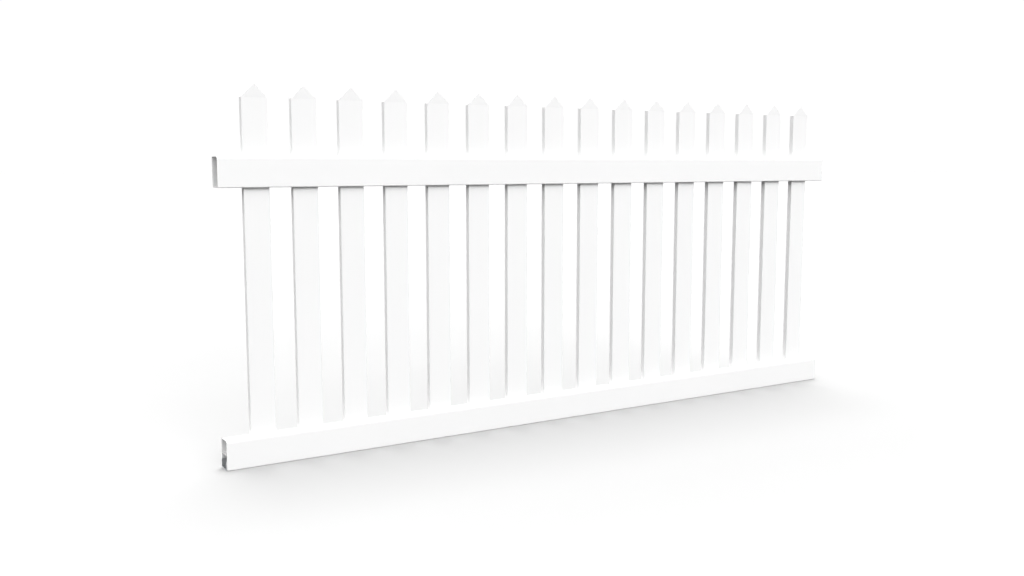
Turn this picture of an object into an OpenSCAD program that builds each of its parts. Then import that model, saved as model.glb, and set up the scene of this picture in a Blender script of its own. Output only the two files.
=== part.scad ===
// Picket fence panel in white PVC: two hollow rails, sixteen hollow pickets with pointed caps,
// and an aluminium channel that stiffens the bottom rail.
// Millimetres. X runs along the rails, Y across the panel, Z up.
// The origin is the middle of the bottom rail's underside.

/* [Panel] */
// Number of pickets along the panel
picket_count = 16; // [2:1:24]
// Clear gap between two pickets
picket_gap = 70.9; // [30:0.1:120]
// Length of rail past the outer pickets, which a post takes in part
rail_overhang = 77.85; // [40:0.05:160]
// Clear height between the bottom rail and the top rail
rail_spacing = 726.1; // [300:0.1:1200]
// Height of a picket's shoulder over the top rail
picket_rise = 166.4; // [60:0.1:400]

/* [Rails] */
// Height of both rails
rail_h = 88.9; // [76:0.1:120]
// Thickness of both rails, front to back
rail_t = 50.8; // [44:0.1:70]
// Wall of the rail extrusion
rail_wall = 2.5; // [1.6:0.1:3.5]
// Radius along the rail's two upper edges, where water runs off
rail_top_r = 8; // [5:0.5:11]
// Radius along the rail's two lower edges
rail_foot_r = 3; // [1:0.5:4]
// Thickness of the web across the bottom rail, which the pickets stand on
web_t = 2; // [1.5:0.1:3]

/* [Pickets] */
// Width of a picket
picket_w = 76.2; // [50:0.1:110]
// Thickness of a picket
picket_t = 19; // [16:0.1:24]
// Wall of the picket extrusion
picket_wall = 1.6; // [1.2:0.1:2.2]
// Radius along the picket's four long edges
picket_edge_r = 1.5; // [0.6:0.1:2.5]
// Slope of the pointed top, from level
point_angle = 45; // [25:1:60]
// Play at each narrow side of a picket in its routed hole
hole_play = 0.3; // [0.1:0.1:0.8]

/* [Caps] */
// Thickness of the cap's two sloping roofs
cap_wall = 2.2; // [1.6:0.1:3]
// Radius of the cap's tip
tip_r = 5; // [3.5:0.5:8]
// Depth of the plug that the cap pushes into the picket
plug_depth = 14; // [6:1:30]
// Wall of the plug
plug_wall = 1.5; // [1.2:0.1:2]
// Gap between the plug and the picket's inner walls
plug_gap = 0.15; // [0.1:0.05:0.4]

/* [Bottom rail stiffener] */
// Height of the aluminium channel
channel_h = 25.4; // [12:0.1:28]
// Wall of the aluminium channel
channel_wall = 2; // [1.5:0.1:3]
// Gap between the channel and the rail's side walls
channel_gap = 0.4; // [0.2:0.1:1]
// Outer radius along the channel's two lower edges
channel_edge_r = 3; // [2.5:0.1:4.5]
// How far the channel's ends stand out of the rail's ends
channel_reach = 2; // [0:0.5:6]

/* [Hidden] */
$fn = 48;
past = 1;
pitch = picket_w + picket_gap;
first_x = -(picket_count - 1) * pitch / 2;
rail_len = (picket_count - 1) * pitch + picket_w + 2 * rail_overhang;
top_rail_z = rail_h + rail_spacing;
shoulder_z = top_rail_z + rail_h + picket_rise;
web_z = (rail_h - web_t) / 2;
seat_z = web_z + web_t;
point_h = picket_w / 2 * tan(point_angle);
cap_side = picket_wall + plug_gap + plug_wall;
chamber_foot_r = 0.8;
channel_w = rail_t - 2 * (rail_wall + channel_gap);
channel_inner_r = 0.4;
// Angle at which the cap's round tip meets its slopes: small, as a true tangent leaves slivers
tip_crease = 2;

function number(i) = i < 9 ? str("0", i + 1) : str(i + 1);
picket_names = [for (i = [0 : picket_count - 1]) str("picket_", number(i))];
cap_names = [for (i = [0 : picket_count - 1]) str("picket_cap_", number(i))];

// A rectangle centred on the origin with all four corners rounded
module rounded_rect(w, h, r) {
    square([w - 2 * r, h], center = true);
    square([w, h - 2 * r], center = true);
    for (x = [-1, 1], y = [-1, 1])
        translate([x * (w / 2 - r), y * (h / 2 - r)])
            circle(r = r);
}

// A rectangle standing on the origin, w wide and h high, with its two lower corners rounded
module tub_outline(w, h, r) {
    translate([-w / 2, r])
        square([w, h - r]);
    translate([r - w / 2, 0])
        square([w - 2 * r, h]);
    for (x = [-1, 1])
        translate([x * (w / 2 - r), r])
            circle(r = r);
}

// A rail's outline standing on the origin, with one radius at the top and another at the foot
module rail_outline(w, h, top_r, foot_r) {
    tub_outline(w, h - top_r, foot_r);
    translate([0, h])
        mirror([0, 1])
            tub_outline(w, h - foot_r, top_r);
}

// Runs a profile drawn across the panel (y, z) along X, centred
module along_x(length) {
    rotate([90, 0, 90])
        linear_extrude(length, center = true)
            children();
}

// Puts one copy of its children at every picket
module at_pickets() {
    for (i = [0 : picket_count - 1])
        translate([first_x + i * pitch, 0, 0])
            children();
}

// The rails' shared outer form, with its underside at z = 0
module rail_outside() {
    along_x(rail_len)
        rail_outline(rail_t, rail_h, rail_top_r, rail_foot_r);
}

// The rails' shared hollow, open at both ends
module rail_hollow() {
    inner_t = rail_t - 2 * rail_wall;
    inner_h = rail_h - 2 * rail_wall;
    translate([0, 0, rail_wall])
        along_x(rail_len + 2 * past)
            rail_outline(inner_t, inner_h, rail_top_r - rail_wall, chamber_foot_r);
}

// The routed hole that a picket passes through: snug front and back, with play at its sides
module picket_hole(low, high) {
    translate([0, 0, low])
        linear_extrude(high - low)
            rounded_rect(picket_w + 2 * hole_play, picket_t, picket_edge_r);
}

// Bottom rail: two chambers one over the other, and holes in its top wall alone
module bottom_rail() {
    color("white")
        difference() {
            rail_outside();
            difference() {
                rail_hollow();
                translate([-rail_len / 2 - 2 * past, -rail_t / 2, web_z])
                    cube([rail_len + 4 * past, rail_t, web_t]);
            }
            at_pickets()
                picket_hole(rail_h - rail_wall - past, rail_h + past);
        }
}

// Channel, open side up, that lies on the floor of the bottom rail's lower chamber
module bottom_rail_stiffener() {
    color("dimgray")
        translate([0, 0, rail_wall])
            along_x(rail_len + 2 * channel_reach)
                difference() {
                    tub_outline(channel_w, channel_h, channel_edge_r);
                    translate([0, channel_wall])
                        tub_outline(channel_w - 2 * channel_wall, channel_h, channel_inner_r);
                }
}

// Top rail: one chamber, with the holes right through its bottom and top walls
module top_rail() {
    color("white")
        difference() {
            translate([0, 0, top_rail_z])
                difference() {
                    rail_outside();
                    rail_hollow();
                }
            at_pickets()
                picket_hole(top_rail_z - past, top_rail_z + rail_h + past);
        }
}

// Picket: a flat hollow board that stands on the bottom rail's web and runs up through the top rail
module picket(i) {
    color("white")
        translate([first_x + i * pitch, 0, seat_z])
            linear_extrude(shoulder_z - seat_z)
                difference() {
                    rounded_rect(picket_w, picket_t, picket_edge_r);
                    square([picket_w - 2 * picket_wall, picket_t - 2 * picket_wall], center = true);
                }
}

// A gable standing on the origin: half_w to each side, rising at the point's angle to a rounded tip
module gable(half_w, depth, r) {
    apex_z = half_w * tan(point_angle);
    centre_to_slope = r * cos(tip_crease);
    centre_z = apex_z - centre_to_slope / cos(point_angle);
    round_z = centre_z + centre_to_slope * cos(point_angle);
    rotate([90, 0, 0])
        linear_extrude(depth, center = true)
            intersection() {
                polygon([[-half_w, 0], [half_w, 0], [0, apex_z]]);
                union() {
                    translate([-half_w - past, -past])
                        square([2 * (half_w + past), round_z + past]);
                    translate([0, centre_z])
                        circle(r = r);
                }
            }
}

// Pointed cap: a hollow gable flush with the picket, over a plug that pushes down into it
module picket_cap(i) {
    inner_half_w = picket_w / 2 - cap_wall / sin(point_angle);
    plug_w = picket_w - 2 * (picket_wall + plug_gap);
    plug_t = picket_t - 2 * (picket_wall + plug_gap);
    color("white")
        translate([first_x + i * pitch, 0, shoulder_z])
            difference() {
                union() {
                    intersection() {
                        gable(picket_w / 2, picket_t, tip_r);
                        linear_extrude(point_h)
                            rounded_rect(picket_w, picket_t, picket_edge_r);
                    }
                    translate([-plug_w / 2, -plug_t / 2, -plug_depth])
                        cube([plug_w, plug_t, plug_depth]);
                }
                gable(inner_half_w, picket_t - 2 * cap_side, tip_r - cap_wall);
                translate([cap_side - picket_w / 2, cap_side - picket_t / 2, -plug_depth - past])
                    cube([picket_w - 2 * cap_side, picket_t - 2 * cap_side, plug_depth + past]);
            }
}

bottom_rail();
bottom_rail_stiffener();
top_rail();
for (i = [0 : picket_count - 1]) {
    picket(i);
    picket_cap(i);
}
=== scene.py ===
"""White PVC picket fence panel on a white studio floor.

Metres. X runs along the rails, Y away from the viewer and Z up.
"""
import math

import bpy
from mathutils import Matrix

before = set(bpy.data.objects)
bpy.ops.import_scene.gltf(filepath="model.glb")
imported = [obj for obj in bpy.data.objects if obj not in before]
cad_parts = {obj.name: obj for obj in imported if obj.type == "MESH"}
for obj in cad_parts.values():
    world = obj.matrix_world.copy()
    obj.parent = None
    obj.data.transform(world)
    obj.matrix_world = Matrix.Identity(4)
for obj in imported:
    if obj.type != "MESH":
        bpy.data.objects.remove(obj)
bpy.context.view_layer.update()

# One millimetre in metres, and one degree in radians
MM = 0.001
DEGREE = math.pi / 180

# Settings of the nodes that come in kinds. A Mix node has its two values at inputs 6 and 7 and its
# result at output 2 for colours, and at 2, 3 and 0 for numbers
COLOUR_MIX = {"data_type": "RGBA"}
NUMBER_MIX = {"data_type": "FLOAT"}
MULTIPLY = {"operation": "MULTIPLY"}
MULTIPLY_ADD = {"operation": "MULTIPLY_ADD"}
MAXIMUM = {"operation": "MAXIMUM"}
DOT_PRODUCT = {"operation": "DOT_PRODUCT"}
SMOOTH = {"interpolation_type": "SMOOTHSTEP"}


def linear(hex_colour):
    """Turns an sRGB hex colour into the linear colour that a shader takes."""
    channels = [int(hex_colour[i:i + 2], 16) / 255 for i in (1, 3, 5)]
    return tuple(c / 12.92 if c <= 0.04045 else ((c + 0.055) / 1.055) ** 2.4 for c in channels) + (1.0,)


def add(tree, kind, settings=None, **inputs):
    """Adds a node with its settings.

    An input goes by its name, with _ for a space, or by _ and its number. What it gets is a value,
    or another node's output to link.
    """
    node = tree.nodes.new(kind)
    for name, value in (settings or {}).items():
        setattr(node, name, value)
    for name, value in inputs.items():
        number = name[1:]
        socket = node.inputs[int(number) if number.isdigit() else name.replace("_", " ")]
        if isinstance(value, bpy.types.NodeSocket):
            tree.links.new(value, socket)
        else:
            socket.default_value = value
    return node


def new_material(name):
    """An empty material and its node tree."""
    material = bpy.data.materials.new(name)
    material.use_nodes = True
    material.node_tree.nodes.clear()
    return material, material.node_tree


# Camera

# The photograph's width and the focal length that its picket edges give, both in pixels
PHOTO_WIDTH = 1024
FOCAL_LENGTH = 1028.2
SENSOR_WIDTH = 36.0  # mm
CAMERA_PLACE = (-2.0434, -2.9100, 0.8819)
CAMERA_YAW = 31.847 * DEGREE  # turned to the right
CAMERA_PITCH = 6.878 * DEGREE  # tilted down
NEAREST_SEEN = 0.05
FARTHEST_SEEN = 400.0


def make_camera():
    """The camera that the photograph was taken with, as its picket edges give it."""
    data = bpy.data.cameras.new("photo_camera")
    data.sensor_width = SENSOR_WIDTH
    data.lens = SENSOR_WIDTH * FOCAL_LENGTH / PHOTO_WIDTH
    data.clip_start = NEAREST_SEEN
    data.clip_end = FARTHEST_SEEN
    camera = bpy.data.objects.new("photo_camera", data)
    camera.location = CAMERA_PLACE
    camera.rotation_euler = (math.pi / 2 - CAMERA_PITCH, 0, -CAMERA_YAW)
    bpy.context.scene.collection.objects.link(camera)
    bpy.context.scene.camera = camera


# Materials

# Sizes of the surface patterns in mm. The real lines and grain are finer, and are drawn so coarse
# to show at all
DRAW_LINE = 2.5  # width of a line that the die leaves along a board
CAP_GRAIN = 1.2  # the mould's etched grain
METAL_STREAK = 1.2  # width of a die streak in the metal
WALL_WAVE = 90  # slow waves in an extruded wall, from its cooling
TONE_PATCH = 350  # faint patches of tone along a board
DRAWN_OUT = 400  # how many times longer than wide a line or a streak is

# Heights of the patterns in mm, and the strength of every bump
LINE_RELIEF = 0.02
GRAIN_RELIEF = 0.04
WAVE_RELIEF = 0.2
STREAK_RELIEF = 0.02
BUMP_STRENGTH = 0.5

# Rigid PVC
PVC_IOR = 1.53
BOARD_CLEAN = "#F3F3F3"
BOARD_DULL = "#F0F0F0"
BOARD_ROUGHNESS = 0.42
CAP_CLEAN = "#F0F0F0"
CAP_DULL = "#EDEDED"
CAP_ROUGHNESS = 0.48
SMOOTHER = 0.05  # how far the fine pattern takes the roughness down
ROUGHER = 0.07  # and how far up
FINE_SHARE = 0.35  # of the fine pattern in the tone, beside the patches
PVC_TONE = (0.35, 1.05)  # that sum where the tone is dull, and where it is clean

# Rubbed edges of the PVC
RUBBED = "#ECEBEA"
RUBBED_EDGE = 0.8  # mm in from an edge
RUBBED_ROUGHER = 0.15
RUB_STARTS = 0.98  # cosine of the edge's turn where the rubbing starts
RUB_FULL = 0.80  # and where it is full
EDGE_SAMPLES = 4

# Aluminium as it leaves the die
METAL_CLEAN = "#DEE0E2"
METAL_DULL = "#C8CACC"
METAL_ROUGHNESS = (0.38, 0.55)
PATCH_SHARE = 0.5  # of the patches in the tone, beside the streaks
METAL_TONE = (0.4, 1.1)


def pattern_scale(size, along=None):
    """Mapping scale for a pattern of one size in mm, drawn out along one axis if that is given."""
    scale = [1 / (size * MM)] * 3
    if along is not None:
        scale[along] /= DRAWN_OUT
    return tuple(scale)


def pvc(name, clean, dull, fine_scale, relief, roughness):
    """Rigid white PVC with a satin face. Its fine pattern is a die's drawn lines or a mould's grain.

    It looks soft and even, and only a low light shows the pattern and the slow waves of the wall.
    Edges and rims are rubbed a little dull.
    """
    material, tree = new_material(name)
    place = add(tree, "ShaderNodeTexCoord").outputs["Object"]
    fine_place = add(tree, "ShaderNodeMapping", Vector=place, Scale=fine_scale).outputs[0]
    fine = add(
        tree, "ShaderNodeTexNoise", Vector=fine_place, Scale=1.0, Detail=2.0, Roughness=0.6
    ).outputs["Fac"]
    patch = add(
        tree, "ShaderNodeTexNoise", Vector=place, Scale=1 / (TONE_PATCH * MM), Detail=3.0
    ).outputs["Fac"]
    wave = add(
        tree, "ShaderNodeTexNoise", Vector=place, Scale=1 / (WALL_WAVE * MM), Detail=1.0
    ).outputs["Fac"]

    soft = add(tree, "ShaderNodeBevel", {"samples": EDGE_SAMPLES}, Radius=RUBBED_EDGE * MM).outputs[0]
    face = add(tree, "ShaderNodeNewGeometry").outputs["Normal"]
    turn = add(tree, "ShaderNodeVectorMath", DOT_PRODUCT, _0=soft, _1=face).outputs["Value"]
    rubbed = add(
        tree, "ShaderNodeMapRange", Value=turn, From_Min=RUB_STARTS, From_Max=RUB_FULL
    ).outputs[0]

    tone = add(tree, "ShaderNodeMath", MULTIPLY_ADD, _0=fine, _1=FINE_SHARE, _2=patch).outputs[0]
    tone = add(
        tree, "ShaderNodeMapRange", Value=tone, From_Min=PVC_TONE[0], From_Max=PVC_TONE[1]
    ).outputs[0]
    colour = add(
        tree, "ShaderNodeMix", COLOUR_MIX, Factor=tone, _6=linear(dull), _7=linear(clean)
    ).outputs[2]
    rub = add(tree, "ShaderNodeMath", MULTIPLY, _0=rubbed, _1=fine).outputs[0]
    colour = add(tree, "ShaderNodeMix", COLOUR_MIX, Factor=rub, _6=colour, _7=linear(RUBBED)).outputs[2]
    gloss = add(
        tree, "ShaderNodeMapRange", Value=fine, To_Min=roughness - SMOOTHER, To_Max=roughness + ROUGHER
    ).outputs[0]
    gloss = add(tree, "ShaderNodeMath", MULTIPLY_ADD, _0=rubbed, _1=RUBBED_ROUGHER, _2=gloss).outputs[0]

    waves = add(
        tree, "ShaderNodeBump", Height=wave, Normal=soft, Strength=BUMP_STRENGTH, Distance=WAVE_RELIEF * MM
    ).outputs[0]
    bump = add(
        tree, "ShaderNodeBump", Height=fine, Normal=waves, Strength=BUMP_STRENGTH, Distance=relief * MM
    ).outputs[0]
    surface = add(
        tree, "ShaderNodeBsdfPrincipled", Base_Color=colour, Roughness=gloss, Normal=bump, IOR=PVC_IOR
    )
    add(tree, "ShaderNodeOutputMaterial", Surface=surface.outputs[0])
    return material


def mill_aluminium(name):
    """Aluminium straight from the die: light grey and matt, with fine streaks along its length."""
    material, tree = new_material(name)
    place = add(tree, "ShaderNodeTexCoord").outputs["Object"]
    streak_place = add(
        tree, "ShaderNodeMapping", Vector=place, Scale=pattern_scale(METAL_STREAK, 0)
    ).outputs[0]
    streak = add(tree, "ShaderNodeTexNoise", Vector=streak_place, Scale=1.0, Detail=3.0).outputs["Fac"]
    patch = add(
        tree, "ShaderNodeTexNoise", Vector=place, Scale=1 / (TONE_PATCH * MM), Detail=3.0
    ).outputs["Fac"]
    tone = add(tree, "ShaderNodeMath", MULTIPLY_ADD, _0=patch, _1=PATCH_SHARE, _2=streak).outputs[0]
    tone = add(
        tree, "ShaderNodeMapRange", Value=tone, From_Min=METAL_TONE[0], From_Max=METAL_TONE[1]
    ).outputs[0]
    colour = add(
        tree, "ShaderNodeMix", COLOUR_MIX, Factor=tone, _6=linear(METAL_DULL), _7=linear(METAL_CLEAN)
    ).outputs[2]
    gloss = add(
        tree, "ShaderNodeMapRange", Value=streak, To_Min=METAL_ROUGHNESS[0], To_Max=METAL_ROUGHNESS[1]
    ).outputs[0]
    bump = add(
        tree, "ShaderNodeBump", Height=streak, Strength=BUMP_STRENGTH, Distance=STREAK_RELIEF * MM
    ).outputs[0]
    surface = add(
        tree, "ShaderNodeBsdfPrincipled", Base_Color=colour, Metallic=1.0, Roughness=gloss, Normal=bump
    )
    add(tree, "ShaderNodeOutputMaterial", Surface=surface.outputs[0])
    return material


def dress(name, material):
    """Gives a CAD node its finish."""
    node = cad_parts[name]
    node.data.materials.clear()
    node.data.materials.append(material)


# Studio

FLOOR_SIZE = 200.0
FLOOR_SEEN = 0.54  # the floor's grey to the camera, at which it just reaches white in the open
FLOOR_BOUNCE = 0.02  # the little that it sends back up, as the undersides in the photograph stay dark
SKY_SEEN = 1.02  # plain white to the camera and in the gloss
# The light around the panel comes from a ring of softboxes. It rises from nothing to its strength
# between the two elevations of its foot, and falls to the share overhead between those of its top
RING_FOOT = (11, 19)
RING_TOP = (44, 58)
RING_STRENGTH = 2.24
OVERHEAD_SHARE = 0.1
# Name, azimuth (0 in front of the panel, 90 to the right), elevation and size in degrees, strength
SUNS = [
    ("front_light", 0, 18, 30, 0.456),
    ("back_light", 150, 70, 30, 0.56),
]


def seen_directly(tree):
    """1 for a ray that the eye follows, straight or by gloss or glass, and 0 for one that lights."""
    rays = add(tree, "ShaderNodeLightPath").outputs
    seen = rays["Is Camera Ray"]
    for kind in ("Is Glossy Ray", "Is Transmission Ray"):
        seen = add(tree, "ShaderNodeMath", MAXIMUM, _0=seen, _1=rays[kind]).outputs[0]
    return seen


def make_floor():
    """A plain white floor that keeps the object's shadow."""
    bpy.ops.mesh.primitive_plane_add(size=FLOOR_SIZE, location=(0, 0, 0))
    floor = bpy.context.object
    floor.name = "studio_floor"
    material, tree = new_material("matt white floor")
    seen = seen_directly(tree)
    grey = add(tree, "ShaderNodeMapRange", Value=seen, To_Min=FLOOR_BOUNCE, To_Max=FLOOR_SEEN).outputs[0]
    surface = add(tree, "ShaderNodeBsdfDiffuse", Color=grey)
    add(tree, "ShaderNodeOutputMaterial", Surface=surface.outputs[0])
    floor.data.materials.append(material)


def make_world():
    """White all round to the eye, while its light comes from the ring."""
    world = bpy.data.worlds.new("studio_white")
    world.use_nodes = True
    tree = world.node_tree
    tree.nodes.clear()
    way = add(tree, "ShaderNodeTexCoord").outputs["Generated"]
    height = add(tree, "ShaderNodeSeparateXYZ", Vector=way).outputs["Z"]
    foot_low, foot_high = [math.sin(angle * DEGREE) for angle in RING_FOOT]
    rise = add(
        tree, "ShaderNodeMapRange", SMOOTH,
        Value=height, From_Min=foot_low, From_Max=foot_high, To_Max=RING_STRENGTH,
    ).outputs[0]
    top_low, top_high = [math.sin(angle * DEGREE) for angle in RING_TOP]
    fall = add(
        tree, "ShaderNodeMapRange", SMOOTH,
        Value=height, From_Min=top_low, From_Max=top_high, To_Min=1.0, To_Max=OVERHEAD_SHARE,
    ).outputs[0]
    ring = add(tree, "ShaderNodeMath", MULTIPLY, _0=rise, _1=fall).outputs[0]
    strength = add(
        tree, "ShaderNodeMix", NUMBER_MIX, Factor=seen_directly(tree), _2=ring, _3=SKY_SEEN
    ).outputs[0]
    background = add(tree, "ShaderNodeBackground", Color=(1, 1, 1, 1), Strength=strength)
    add(tree, "ShaderNodeOutputWorld", Surface=background.outputs[0])
    bpy.context.scene.world = world


def make_sun(name, azimuth, elevation, spread, strength):
    """A distant soft lamp. A strength of 1 lights a white face turned to it just to white."""
    data = bpy.data.lights.new(name, "SUN")
    data.energy = strength * math.pi
    data.angle = spread * DEGREE
    lamp = bpy.data.objects.new(name, data)
    lamp.rotation_euler = (math.pi / 2 - elevation * DEGREE, 0, azimuth * DEGREE)
    lamp.visible_glossy = False
    bpy.context.scene.collection.objects.link(lamp)


make_camera()

# Boards from a die: satin white, with faint lines along the rails and up the pickets
RAIL_LINES = pattern_scale(DRAW_LINE, 0)
PICKET_LINES = pattern_scale(DRAW_LINE, 2)
rail_white = pvc("rail extruded PVC", BOARD_CLEAN, BOARD_DULL, RAIL_LINES, LINE_RELIEF, BOARD_ROUGHNESS)
picket_white = pvc(
    "picket extruded PVC", BOARD_CLEAN, BOARD_DULL, PICKET_LINES, LINE_RELIEF, BOARD_ROUGHNESS
)
# Caps from a mould: a touch greyer and more matt than the boards, with an even grain
CAP_PATTERN = pattern_scale(CAP_GRAIN)
cap_white = pvc("cap moulded PVC", CAP_CLEAN, CAP_DULL, CAP_PATTERN, GRAIN_RELIEF, CAP_ROUGHNESS)
aluminium = mill_aluminium("mill finish aluminium")

for node_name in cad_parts:
    if node_name.startswith("picket_cap"):
        dress(node_name, cap_white)
    elif node_name.startswith("picket"):
        dress(node_name, picket_white)
    elif node_name == "bottom_rail_stiffener":
        dress(node_name, aluminium)
    else:
        dress(node_name, rail_white)

make_floor()
make_world()
for sun in SUNS:
    make_sun(*sun)

bpy.context.scene.view_settings.view_transform = "Standard"
